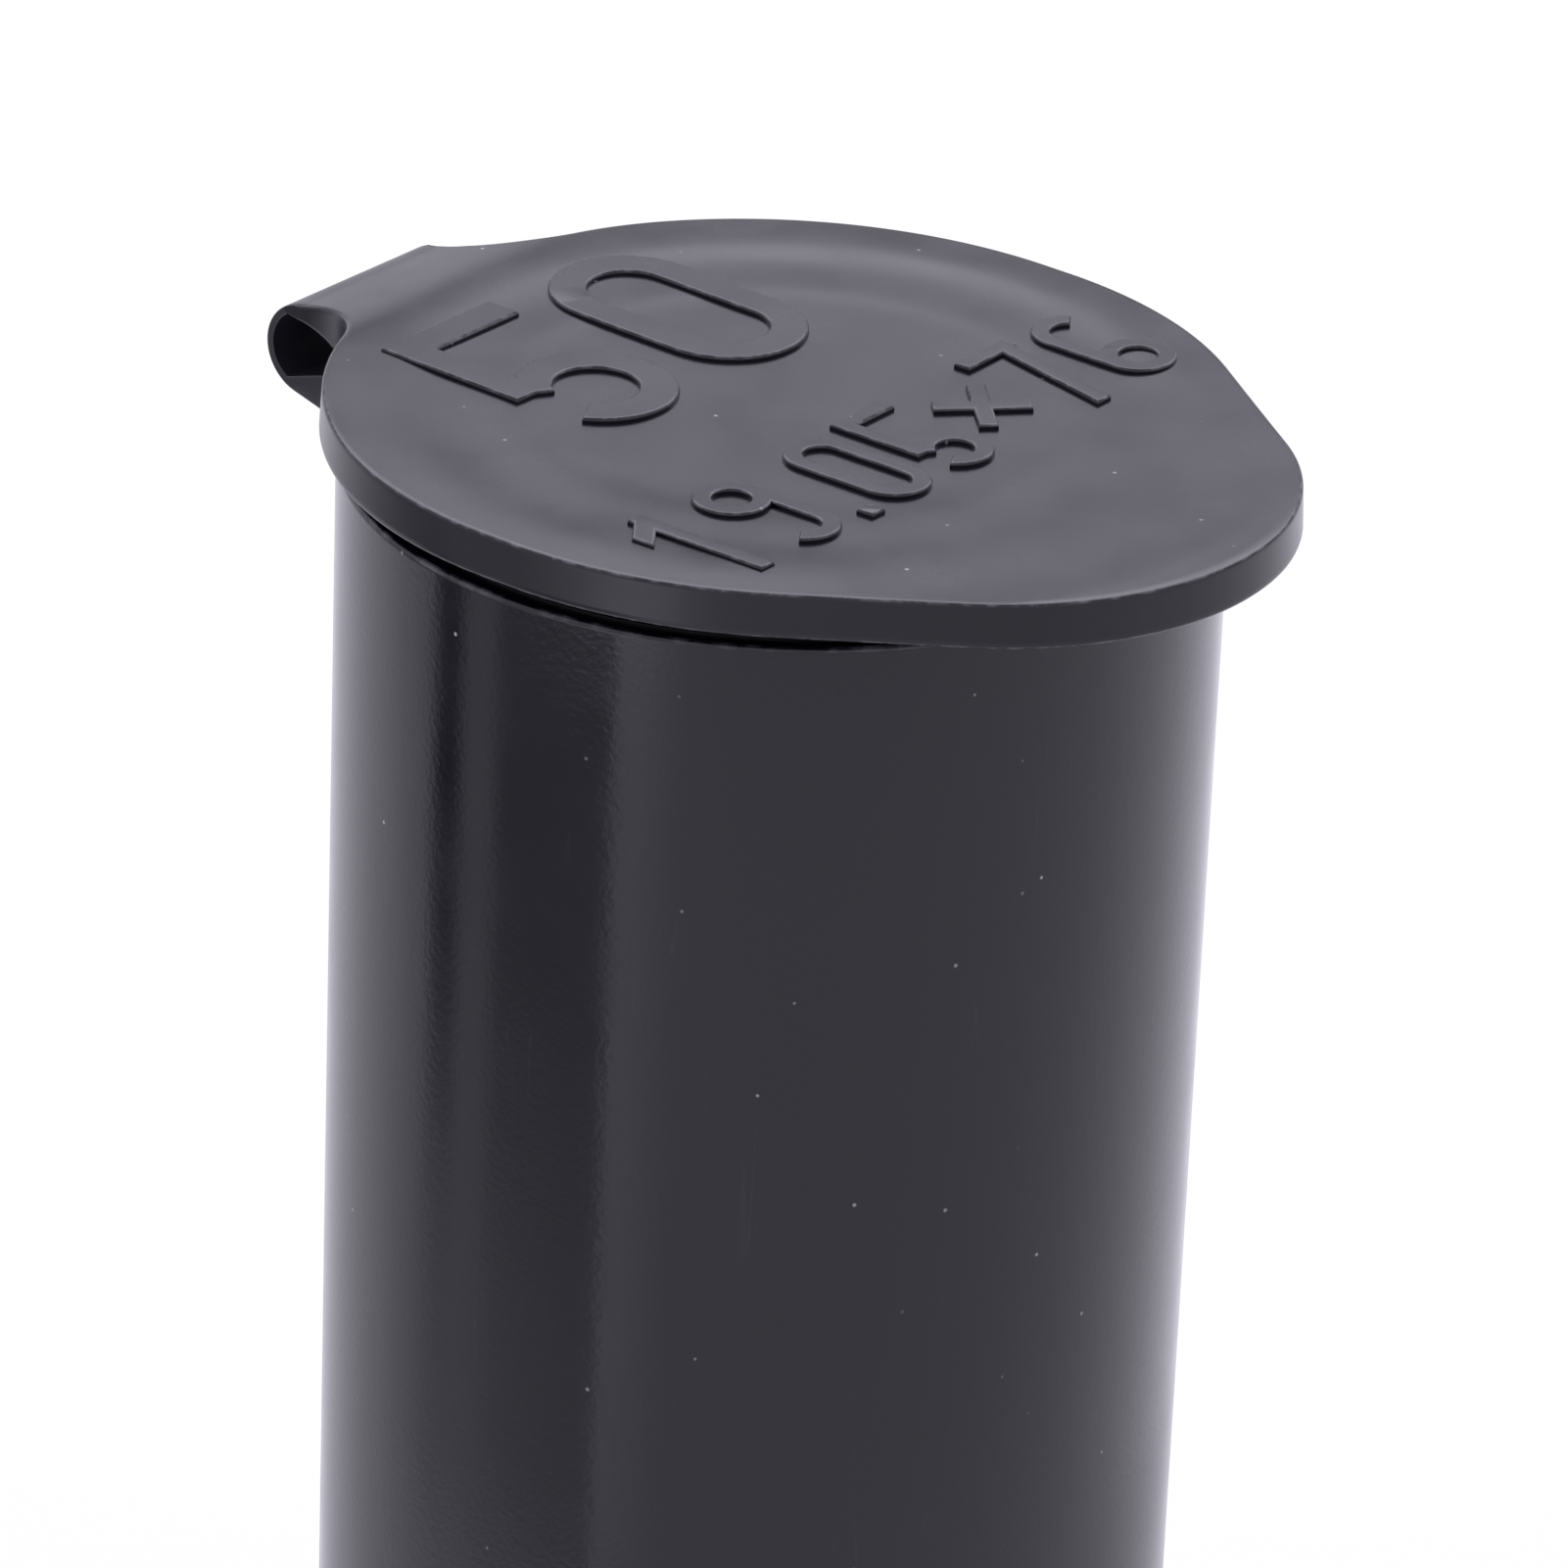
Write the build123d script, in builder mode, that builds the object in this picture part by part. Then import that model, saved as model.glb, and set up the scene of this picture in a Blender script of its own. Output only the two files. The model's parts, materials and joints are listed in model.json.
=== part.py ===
from build123d import *
import os
from math import asin, cos, degrees, radians, sin, sqrt, tan

# Coin tube with a lid on a living hinge, moulded in black polypropylene.
# Millimetres, +Z up. The origin is the centre of the standing face, the thumb tab is at -Y,
# the hinge is at +Y, and the lid is closed.

os.makedirs("parts", exist_ok=True)

# Coins that the tube is made for
coin_diameter = 19.05
coin_thickness = 1.52
coin_count = 50

# Tube
bore_slack = 0.475  # room round a coin
wall = 1.2
floor_thickness = 1.2
head_room = 5.2  # from the top coin to the rim
floor_round = 0.4
foot_width = 1.6  # standing ring
foot_recess = 0.4
foot_round = 0.5
rim_round = 0.15
seat_step = 0.35  # the mouth is wider than the bore by this, for the plug
seat_depth = 4.8
seat_lead = 0.3

# Lid
lid_gap = 0.4  # daylight between the rim and the lid
lid_overhang = 0.12
lid_stretch = 0.4  # the disc is longer than it is wide by this, towards the hinge and towards the tab
lid_thickness = 1.2
lid_round = 0.25
tab_projection = 2.38
tab_radius = 8.0

# Plug under the lid
plug_clearance = 0.15
plug_depth = 2.2  # below the rim
plug_wall = 1.0
plug_lead = 0.35

# Hinge: a thin web that is bent into a loop while the lid is closed
web_width = 5.4
web_thickness = 0.22
web_radius = 1.25  # outside of the loop
web_stand_off = 2.4  # loop centre from the tube wall
web_drop = 0.4  # loop centre below the rim
web_half_turn = 75.0  # the loop runs this many degrees up and down from level
web_kink = 58.0  # the wedges thicken the web from this angle on
web_bend = 45.0  # the web folds about its outside at this angle, up and down from level
fold_gap = 0.02
hinge_blend = 3.2  # hollow corners beside the hinge
flare_drop = 0.38  # the lid's hinge flare hangs this far below the lid
flare_set_off = 0.38  # from the lid's edge to where the flare is deepest
root_drop = 0.3  # root wedge below the rim

# Raised numerals: coins in a full tube, and diameter and length of the stack in millimetres
numeral_height = 0.25
count_stroke = 1.0
count_baseline = 1.9
count_half_width = 4.7
count_digit_gap = 1.0
count_margin = 0.92
size_stroke = 0.5
size_baseline = -5.9
size_digit_height = 4.15
size_digit_gap = 0.55
size_margin = 0.47
flag_depth_ratio = 1.4  # of a 1, in strokes
flag_length_ratio = 1.5  # of a 1, in strokes
five_mouth = 30.0  # half the opening in the bowl of a 5, in degrees
nine_tail = 145.0  # turn of the tail of a 9, in degrees
seven_leg_ratio = 1.1  # leg of a 7, in strokes
cross_ratio = 0.9  # arms of the cross, in digit widths

# Places that follow from these sizes
bore_radius = coin_diameter / 2 + bore_slack
tube_radius = bore_radius + wall
seat_radius = bore_radius + seat_step
rim_z = floor_thickness + coin_count * coin_thickness + head_room
lid_radius = tube_radius + lid_overhang
lid_under_z = rim_z + lid_gap
lid_top_z = lid_under_z + lid_thickness
lid_reach = lid_radius + lid_stretch
tab_reach = lid_reach + tab_projection
tab_y = tab_radius - tab_reach
tab_lean = asin((lid_radius - tab_radius) / (-lid_stretch - tab_y))  # slope of the tab's straight sides
loop_y = tube_radius + web_stand_off
loop_z = rim_z - web_drop
web_inner_radius = web_radius - web_thickness
bend_edge = web_bend + degrees(fold_gap / 2 / web_radius)
link_edge = web_bend - degrees(fold_gap / 2 / web_radius)
plan_reach = loop_y + web_radius + tab_reach


def on_loop(radius, angle):
    """Point of the hinge loop, in the plane that looks along the hinge."""
    return (loop_y + radius * cos(radians(angle)), loop_z + radius * sin(radians(angle)))


def loop_arc(radius, start, end):
    """Three points of an arc of the hinge loop."""
    return on_loop(radius, start), on_loop(radius, (start + end) / 2), on_loop(radius, end)


def hinge_tongue(body_radius, body_y=0.0):
    """Plan of a round body with the hinge tongue growing out of it at +Y."""
    tongue_length = loop_y + web_radius
    with BuildSketch() as plan:
        with Locations((0, body_y)):
            Circle(body_radius)
        with Locations((0, tongue_length / 2)):
            Rectangle(web_width, tongue_length)
        hollow_corners = plan.vertices().group_by(Axis.Y)[0]
        fillet(hollow_corners, hinge_blend)
    return plan.sketch


def zero(width, height, stroke):
    """Numeral 0, standing on the origin's level and starting at X 0."""
    with BuildSketch() as glyph:
        with Locations((width / 2, height / 2)):
            SlotOverall(height, width, rotation=90)
            SlotOverall(height - 2 * stroke, width - 2 * stroke, rotation=90, mode=Mode.SUBTRACT)
    return glyph.sketch


def one(width, height, stroke):
    """Numeral 1: a stem with a sloping flag, centred in its width."""
    stem_left = (width - stroke) / 2
    flag_left = stem_left - flag_length_ratio * stroke
    flag_drop = stem_left - flag_left
    with BuildSketch() as glyph:
        with Locations((stem_left + stroke / 2, height / 2)):
            Rectangle(stroke, height)
        with BuildLine():
            Polyline(
                (stem_left + stroke / 2, height),
                (flag_left, height - flag_drop),
                (flag_left, height - flag_drop - flag_depth_ratio * stroke),
                (stem_left + stroke / 2, height - flag_depth_ratio * stroke),
                close=True,
            )
        make_face()
    return glyph.sketch


def bowl(width, stroke, start, turn):
    """Open round stroke of a numeral, about the origin."""
    with BuildSketch() as stroke_ring:
        with BuildLine():
            CenterArc((0, 0), (width - stroke) / 2, start, turn)
        trace(line_width=stroke)
    return stroke_ring.sketch


def five(width, height, stroke):
    """Numeral 5: a top bar, a short stem and a bowl that is open to the left."""
    bowl_level = width / 2
    stem_foot = bowl_level + (width - stroke) / 2 * sin(radians(five_mouth))
    with BuildSketch() as glyph:
        with Locations((width / 2, height - stroke / 2)):
            Rectangle(width, stroke)
        with Locations((stroke / 2, (height + stem_foot) / 2)):
            Rectangle(stroke, height - stem_foot)
        with Locations((width / 2, bowl_level)):
            add(bowl(width, stroke, five_mouth - 180, 360 - 2 * five_mouth))
    return glyph.sketch


def seven(width, height, stroke):
    """Numeral 7: a top bar and a leg that slopes to the left."""
    leg = seven_leg_ratio * stroke
    with BuildSketch() as glyph:
        with Locations((width / 2, height - stroke / 2)):
            Rectangle(width, stroke)
        with BuildLine():
            Polyline(
                (width, height - stroke / 2),
                (stroke + leg, 0),
                (stroke, 0),
                (width - leg, height - stroke / 2),
                close=True,
            )
        make_face()
    return glyph.sketch


def nine(width, height, stroke):
    """Numeral 9: a round head and a tail that curls to the left."""
    head_level = height - width / 2
    tail_level = width / 2
    with BuildSketch() as glyph:
        with Locations((width / 2, head_level)):
            Circle(width / 2)
            Circle(width / 2 - stroke, mode=Mode.SUBTRACT)
        with Locations((width - stroke / 2, (head_level + tail_level) / 2)):
            Rectangle(stroke, head_level - tail_level)
        with Locations((width / 2, tail_level)):
            add(bowl(width, stroke, -nine_tail, nine_tail))
    return glyph.sketch


def six(width, height, stroke):
    """Numeral 6: a 9 turned upside down."""
    with BuildSketch() as glyph:
        with Locations((width, height)):
            add(nine(width, height, stroke), rotation=180)
    return glyph.sketch


def cross(width, height, stroke):
    """Multiplication cross at half the height of a numeral."""
    with BuildSketch() as glyph:
        with Locations((width / 2, height / 2)):
            Rectangle(cross_ratio * width * sqrt(2), stroke, rotation=45)
            Rectangle(cross_ratio * width * sqrt(2), stroke, rotation=-45)
    return glyph.sketch


def point(width, height, stroke):
    """Decimal point, a square that is as wide as its stroke."""
    with BuildSketch() as glyph:
        with Locations((width / 2, stroke / 2)):
            Rectangle(stroke, stroke)
    return glyph.sketch


# Tube
with BuildPart() as tube_body:
    with BuildSketch():
        Circle(tube_radius)
    extrude(amount=rim_z)
    with BuildSketch(Plane.XY.offset(floor_thickness)):
        Circle(bore_radius)
    extrude(amount=rim_z - floor_thickness, mode=Mode.SUBTRACT)
    bore_edges = tube_body.edges().filter_by(GeomType.CIRCLE).sort_by(SortBy.RADIUS)[:2]
    fillet(bore_edges.sort_by(Axis.Z)[0], floor_round)
    with BuildSketch(Plane.XY.offset(rim_z - seat_depth)):
        Circle(seat_radius)
    extrude(amount=seat_depth, mode=Mode.SUBTRACT)
    rim_edges = tube_body.edges().group_by(Axis.Z)[-1].sort_by(SortBy.RADIUS)
    chamfer(rim_edges[0], seat_lead)
    fillet(rim_edges[-1], rim_round)
    fillet(tube_body.edges().group_by(Axis.Z)[0], foot_round)
    with BuildSketch():
        Circle(tube_radius - foot_round - foot_width)
    extrude(amount=foot_recess, mode=Mode.SUBTRACT)
tube_body.part.label = "tube_body"
export_step(tube_body.part, "parts/tube_body.step")

# Wedge on the tube wall that carries the hinge web
with BuildPart() as hinge_root:
    with BuildSketch():
        add(hinge_tongue(tube_radius))
    extrude(amount=rim_z)
    with BuildSketch(Plane.YZ):
        with BuildLine():
            heel = on_loop(web_radius, -web_half_turn)
            ThreePointArc(*loop_arc(web_radius, -bend_edge, -web_half_turn))
            Polyline(
                heel,
                (0, heel[1] - heel[0] / tan(radians(web_half_turn))),
                (0, rim_z - root_drop),
                (tube_radius, rim_z - root_drop),
                on_loop(web_inner_radius, -web_kink),
            )
            ThreePointArc(*loop_arc(web_inner_radius, -web_kink, -bend_edge))
            Line(on_loop(web_inner_radius, -bend_edge), on_loop(web_radius, -bend_edge))
        make_face()
    extrude(amount=plan_reach, both=True, mode=Mode.INTERSECT)
    with BuildSketch():
        Circle(tube_radius)
    extrude(amount=rim_z, mode=Mode.SUBTRACT)
hinge_root.part.label = "hinge_root"
export_step(hinge_root.part, "parts/hinge_root.step")

# Free length of the hinge web, between its two folds
with BuildPart() as hinge_strap:
    with BuildSketch(Plane.YZ):
        with BuildLine():
            ThreePointArc(*loop_arc(web_radius, -link_edge, link_edge))
            Line(on_loop(web_radius, link_edge), on_loop(web_inner_radius, link_edge))
            ThreePointArc(*loop_arc(web_inner_radius, link_edge, -link_edge))
            Line(on_loop(web_inner_radius, -link_edge), on_loop(web_radius, -link_edge))
        make_face()
    extrude(amount=web_width / 2, both=True)
hinge_strap.part.label = "hinge_strap"
export_step(hinge_strap.part, "parts/hinge_strap.step")

# Lid disc with its hinge flare and thumb tab
with BuildPart() as lid_plate:
    with BuildSketch():
        add(hinge_tongue(lid_radius, lid_stretch))
        with Locations((0, -lid_stretch)):
            Circle(lid_radius)
        with Locations((0, tab_y)):
            Circle(tab_radius)
        with BuildLine():
            Polyline(
                (lid_radius, lid_stretch),
                (lid_radius, -lid_stretch),
                (lid_radius * cos(tab_lean), -lid_stretch - lid_radius * sin(tab_lean)),
                (tab_radius * cos(tab_lean), tab_y - tab_radius * sin(tab_lean)),
                (-tab_radius * cos(tab_lean), tab_y - tab_radius * sin(tab_lean)),
                (-lid_radius * cos(tab_lean), -lid_stretch - lid_radius * sin(tab_lean)),
                (-lid_radius, -lid_stretch),
                (-lid_radius, lid_stretch),
                close=True,
            )
        make_face()
    extrude(amount=lid_top_z)
    fillet(lid_plate.edges().group_by(Axis.Z)[-1], lid_round)
    with BuildSketch(Plane.YZ):
        with BuildLine():
            crest = on_loop(web_radius, web_half_turn)
            flare_run = (lid_top_z - crest[1]) * tan(radians(web_half_turn))
            ThreePointArc(*loop_arc(web_radius, bend_edge, web_half_turn))
            Polyline(
                crest,
                (crest[0] - flare_run, lid_top_z),
                (-plan_reach, lid_top_z),
                (-plan_reach, lid_under_z),
                (lid_reach, lid_under_z),
                (lid_reach + flare_set_off, lid_under_z - flare_drop),
                on_loop(web_inner_radius, web_kink),
            )
            ThreePointArc(*loop_arc(web_inner_radius, web_kink, bend_edge))
            Line(on_loop(web_inner_radius, bend_edge), on_loop(web_radius, bend_edge))
        make_face()
    extrude(amount=plan_reach, both=True, mode=Mode.INTERSECT)
lid_plate.part.label = "lid_plate"
export_step(lid_plate.part, "parts/lid_plate.step")

# Ring under the lid that seals in the mouth
plug_radius = seat_radius - plug_clearance
with BuildPart() as lid_plug_ring:
    with BuildSketch(Plane.XY.offset(rim_z - plug_depth)):
        Circle(plug_radius)
        Circle(plug_radius - plug_wall, mode=Mode.SUBTRACT)
    extrude(amount=plug_depth + lid_gap)
    plug_edge = lid_plug_ring.edges().group_by(Axis.Z)[0].sort_by(SortBy.RADIUS)[-1]
    chamfer(plug_edge, plug_lead)
lid_plug_ring.part.label = "lid_plug_ring"
export_step(lid_plug_ring.part, "parts/lid_plug_ring.step")

# Large numerals beside the hinge
count_digit_width = count_half_width - count_digit_gap / 2
count_top = sqrt((lid_radius - count_margin) ** 2 - count_half_width**2)
count_digit_height = count_top - count_baseline
with BuildPart() as count_numerals:
    with BuildSketch(Plane.XY.offset(lid_top_z)):
        with Locations((-count_half_width, count_baseline)):
            add(five(count_digit_width, count_digit_height, count_stroke))
        with Locations((count_digit_gap / 2, count_baseline)):
            add(zero(count_digit_width, count_digit_height, count_stroke))
    extrude(amount=numeral_height)
count_numerals.part.label = "count_numerals"
export_step(count_numerals.part, "parts/count_numerals.step")

# Row of smaller numerals beside the tab, with the point in a place that is one stroke wide
size_half_width = sqrt((lid_radius - size_margin) ** 2 - size_baseline**2)
size_row = [one, nine, point, zero, five, cross, seven, six]
size_digit_width = (2 * size_half_width - size_stroke) / (len(size_row) - 1) - size_digit_gap
with BuildPart() as size_numerals:
    with BuildSketch(Plane.XY.offset(lid_top_z)):
        place_x = -size_half_width
        for numeral in size_row:
            place_width = size_stroke if numeral is point else size_digit_width
            with Locations((place_x, size_baseline)):
                add(numeral(place_width, size_digit_height, size_stroke))
            place_x += place_width + size_digit_gap
    extrude(amount=numeral_height)
size_numerals.part.label = "size_numerals"
export_step(size_numerals.part, "parts/size_numerals.step")

print("fold axes, Y and Z:", on_loop(web_radius, -web_bend), on_loop(web_radius, web_bend))
print("rim", rim_z, "lid top", lid_top_z, "bore from", floor_thickness + floor_round, "to", rim_z - seat_depth)
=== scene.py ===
"""Coin tube with a hinged lid, dressed for a studio picture.

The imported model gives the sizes, the bodies and the hinge. Each class models one sub-assembly over its
solids, in metres and in the same frame, and gives it a finish. The lid is closed, its thumb tab is at -Y,
and the living hinge is at +Y.
"""

import json
import logging
import math
from contextlib import contextmanager
from dataclasses import dataclass
from enum import Enum
from typing import Any, Callable, Iterator, Sequence

import bmesh
import bpy
from mathutils import Matrix, Vector

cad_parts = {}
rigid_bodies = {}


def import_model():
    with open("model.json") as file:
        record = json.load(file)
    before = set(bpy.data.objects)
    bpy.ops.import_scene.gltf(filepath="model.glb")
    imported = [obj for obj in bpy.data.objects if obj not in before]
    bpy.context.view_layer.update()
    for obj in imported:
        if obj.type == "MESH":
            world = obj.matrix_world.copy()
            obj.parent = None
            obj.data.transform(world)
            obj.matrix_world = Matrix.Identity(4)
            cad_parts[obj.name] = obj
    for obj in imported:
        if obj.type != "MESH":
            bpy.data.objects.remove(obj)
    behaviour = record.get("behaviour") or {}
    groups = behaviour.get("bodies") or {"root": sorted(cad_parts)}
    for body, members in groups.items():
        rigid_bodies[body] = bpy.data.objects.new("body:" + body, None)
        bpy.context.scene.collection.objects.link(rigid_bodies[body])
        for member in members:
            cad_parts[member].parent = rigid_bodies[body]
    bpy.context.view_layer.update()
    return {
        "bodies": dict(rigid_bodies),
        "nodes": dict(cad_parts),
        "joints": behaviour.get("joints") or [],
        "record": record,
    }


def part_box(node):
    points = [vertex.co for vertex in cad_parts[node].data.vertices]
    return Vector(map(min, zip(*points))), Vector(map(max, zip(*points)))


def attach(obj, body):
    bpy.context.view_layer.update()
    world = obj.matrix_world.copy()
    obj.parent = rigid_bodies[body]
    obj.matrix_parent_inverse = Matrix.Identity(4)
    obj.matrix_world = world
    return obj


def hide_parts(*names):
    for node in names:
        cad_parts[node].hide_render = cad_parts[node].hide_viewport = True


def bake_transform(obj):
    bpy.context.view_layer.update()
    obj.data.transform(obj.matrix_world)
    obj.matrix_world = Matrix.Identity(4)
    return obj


Piece = bpy.types.Object
Tree = bpy.types.NodeTree
Socket = bpy.types.NodeSocket
Outputs = bpy.types.bpy_prop_collection
Span = tuple[float, float]
Colour = tuple[float, float, float, float]

MM = 0.001
CLOSE = 0.01 * MM  # two places nearer than this are the same place
MERGE = CLOSE / 10  # vertices nearer than this become one
ROUND_STEPS = 192  # facets round the tube and along the cards
LEVEL = 0.9  # a face is level when its normal rises or falls by more than this
FLAT_ANGLE = math.radians(1)  # faces that meet at less than this are one face
SMOOTH_ANGLE = math.radians(35)  # edges sharper than this stay sharp to the eye
SHARP_ANGLE = math.radians(30)  # edges sharper than this are corners to ease
EDGE_WEAR_AND_HIGHLIGHT = "edge_wear_and_highlight"  # attribute that is 1 on the edges that hands and tables rub, where the finish paints wear and a highlight
NOISE_MIDDLE = 0.5  # the value that a noise swings about
MIX_FROM = 6  # the Mix node's colours go by number, because its sockets share their names
MIX_TO = 7
MIXED = 2

log = logging.getLogger("coin_tube")


class Element(Enum):
    """Kind of mesh element that a selection takes."""

    VERTEX = "VERT"
    EDGE = "EDGE"
    FACE = "FACE"


class Body(Enum):
    """Moving body that a piece rides on."""

    TUBE = "tube"
    STRAP = "strap"
    LID = "lid"


class Slot(Enum):
    """Material slot of the record."""

    TUBE = "tube_polypropylene"
    HINGE = "hinge_polypropylene"
    LID = "lid_polypropylene"


def linear(hex_colour: str) -> Colour:
    """Turns an sRGB hex colour into linear RGBA.

    Args:
        hex_colour: Colour such as "#1a1a1c".

    Returns:
        Linear red, green, blue, and an alpha of 1.
    """
    channels = [int(hex_colour[i : i + 2], 16) / 255 for i in (1, 3, 5)]
    red, green, blue = (c / 12.92 if c <= 0.04045 else ((c + 0.055) / 1.055) ** 2.4 for c in channels)
    return red, green, blue, 1.0


def smoothstep(low: float, high: float, value: float) -> float:
    """Rises from 0 at low to 1 at high, flat at both ends, and falls where low is above high."""
    share = min(1.0, max(0.0, (value - low) / (high - low)))
    return share * share * (3 - 2 * share)


def soft_bend(width: float, value: float) -> float:
    """Gives 0 well below 0 and the value well above it, with a bend of that width between."""
    return width * math.log1p(math.exp(value / width))


def scale_for(size_mm: float) -> float:
    """Gives the texture scale at which a pattern's patches are about size_mm across."""
    return 1 / (size_mm * MM)


def add_node(tree: Tree, kind: str, inputs: dict[Any, Any], **settings: Any) -> Outputs:
    """Adds a node with its settings, socket values and links.

    Args:
        tree: Node tree that takes the node.
        kind: Blender's name for the node type.
        inputs: Socket name or number, and either a value or an output socket to link.
        **settings: Properties of the node itself.

    Returns:
        The new node's outputs.
    """
    node = tree.nodes.new(kind)
    for name, value in settings.items():
        setattr(node, name, value)
    for key, value in inputs.items():
        if isinstance(value, Socket):
            tree.links.new(value, node.inputs[key])
        else:
            node.inputs[key].default_value = value
    return node.outputs


def empty_tree(owner: bpy.types.Material | bpy.types.World) -> Tree:
    """Turns the nodes of a new material or world on and clears them away.

    Args:
        owner: Material or world.

    Returns:
        Its empty node tree.
    """
    owner.use_nodes = True
    owner.node_tree.nodes.clear()
    return owner.node_tree


def pick(piece: Piece) -> None:
    """Selects one piece, makes it active and leaves every other object unselected.

    Args:
        piece: Object to select.
    """
    bpy.ops.object.select_all(action="DESELECT")
    piece.select_set(True)
    bpy.context.view_layer.objects.active = piece


@contextmanager
def editing(piece: Piece) -> Iterator[None]:
    """Opens one piece in edit mode, with no other object selected.

    Args:
        piece: Mesh object to edit.
    """
    pick(piece)
    bpy.ops.object.mode_set(mode="EDIT")
    yield
    bpy.ops.object.mode_set(mode="OBJECT")


def settle(name: str) -> Piece:
    """Names the primitive that was just added and puts its place into its mesh.

    Args:
        name: Name of the piece.

    Returns:
        The named object, at the origin.
    """
    piece = bpy.context.active_object
    piece.name = name
    piece.data.name = name
    bpy.ops.object.transform_apply(location=True, rotation=True, scale=True)
    return piece


def add_cylinder(name: str, sides: int, radius: float, low: float, high: float) -> Piece:
    """Adds an upright cylinder on the tube's axis.

    Args:
        name: Name of the piece.
        sides: Facets round it.
        radius: Its radius.
        low: Height of its lower end.
        high: Height of its upper end.

    Returns:
        The new piece.
    """
    middle = (0, 0, (low + high) / 2)
    bpy.ops.object.select_all(action="DESELECT")
    bpy.ops.mesh.primitive_cylinder_add(vertices=sides, radius=radius, depth=high - low, location=middle)
    return settle(name)


def select(piece: Piece, element: Element, test: Callable[[Any], bool]) -> None:
    """Selects the elements of a piece in edit mode for which a test holds, and no others.

    Args:
        piece: Mesh object in edit mode.
        element: Kind of element to select.
        test: Takes a vertex, edge or face and says whether it is selected.
    """
    bpy.ops.mesh.select_mode(type=element.value)
    bpy.ops.mesh.select_all(action="DESELECT")
    mesh = bmesh.from_edit_mesh(piece.data)
    found = {Element.VERTEX: mesh.verts, Element.EDGE: mesh.edges, Element.FACE: mesh.faces}[element]
    for item in [item for item in found if test(item)]:
        item.select_set(True)
    bmesh.update_edit_mesh(piece.data)


def push(rise: float) -> None:
    """Extrudes the selected face up by rise, or down where it is below 0."""
    bpy.ops.mesh.extrude_region_move(TRANSFORM_OT_translate={"value": (0, 0, rise)})


def merge_doubles() -> None:
    """Merges the doubled vertices of the piece in edit mode, with all of it selected."""
    bpy.ops.mesh.select_all(action="SELECT")
    bpy.ops.mesh.remove_doubles(threshold=MERGE)


def face_outwards() -> None:
    """Turns every face of the piece in edit mode outwards."""
    bpy.ops.mesh.select_all(action="SELECT")
    bpy.ops.mesh.normals_make_consistent(inside=False)


def is_corner(edge: bmesh.types.BMEdge) -> bool:
    """Says whether the two faces of an edge meet at a corner that can be seen."""
    return len(edge.link_faces) == 2 and edge.calc_face_angle(0.0) > SHARP_ANGLE


def round_ring(piece: Piece, radius: float, height: float, size: float, segments: int) -> None:
    """Rounds or chamfers one circular edge of a turned piece in edit mode.

    Args:
        piece: Mesh object in edit mode.
        radius: Radius of the edge.
        height: Height of the edge.
        size: Radius of the rounding.
        segments: Facets across the rounding, where 1 is a chamfer.
    """

    def on_ring(edge: bmesh.types.BMEdge) -> bool:
        """Says whether both ends of an edge lie on the ring."""
        spots = [Vector((v.co.xy.length, v.co.z)) for v in edge.verts]
        return all(abs(spot.x - radius) < CLOSE and abs(spot.y - height) < CLOSE for spot in spots)

    select(piece, Element.EDGE, on_ring)
    bpy.ops.mesh.bevel(offset=size, segments=segments, affect="EDGES")


def loft(name: str, rings: Sequence[Sequence[Vector]]) -> Piece:
    """Makes a closed skin through rings of points, from a cylinder that is cut into as many rings.

    Args:
        name: Name of the piece.
        rings: Rings from one end of the form to the other, each with as many points, a multiple of four.

    Returns:
        The new piece.
    """
    columns = len(rings[0])
    steps = len(rings) - 1
    piece = add_cylinder(name, columns, 1.0, 0.0, steps)
    with editing(piece):
        select(piece, Element.EDGE, lambda edge: abs(edge.verts[0].co.z - edge.verts[1].co.z) > CLOSE)
        bpy.ops.mesh.subdivide(number_cuts=steps - 1)
        mesh = bmesh.from_edit_mesh(piece.data)
        for vertex in mesh.verts:
            turn = math.atan2(vertex.co.y, vertex.co.x) / math.tau
            vertex.co = rings[round(vertex.co.z)][round(turn * columns) % columns]
        bmesh.update_edit_mesh(piece.data)
        merge_doubles()
        face_outwards()
    return piece


def copy_of_node(name: str, node: Piece) -> Piece:
    """Copies a solid's mesh to a new piece and clears its triangles away.

    Args:
        name: Name of the piece.
        node: Solid to copy.

    Returns:
        The new piece, with whole faces.
    """
    piece = bpy.data.objects.new(name, node.data.copy())
    piece.data.name = name
    piece.data.materials.clear()
    bpy.context.scene.collection.objects.link(piece)
    with editing(piece):
        merge_doubles()
        bpy.ops.mesh.dissolve_limited(angle_limit=FLAT_ANGLE)
        face_outwards()
    return piece


def smooth(piece: Piece, weighted: bool = True) -> None:
    """Shades a piece smooth, and keeps its large faces flat.

    Args:
        piece: Finished mesh object.
        weighted: Whether large faces outweigh the narrow ones beside them.
    """
    pick(piece)
    bpy.ops.object.shade_smooth_by_angle(angle=SMOOTH_ANGLE)
    if weighted:
        bpy.ops.object.modifier_add(type="WEIGHTED_NORMAL")
        modifier = piece.modifiers[-1]
        modifier.keep_sharp = True
        bpy.ops.object.modifier_apply(modifier=modifier.name)


def mark_wear_and_highlight(piece: Piece, worn_and_highlit: Callable[[Vector], bool]) -> None:
    """Writes which places of a piece are worn and carry a painted highlight, for its finish to read.

    Args:
        piece: Mesh object in object mode.
        worn_and_highlit: Takes a place and says whether it is worn and carries a painted highlight.
    """
    layer = piece.data.attributes.new(EDGE_WEAR_AND_HIGHLIGHT, "FLOAT", "POINT")
    for vertex, value in zip(piece.data.vertices, layer.data):
        value.value = float(worn_and_highlit(vertex.co))


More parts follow.
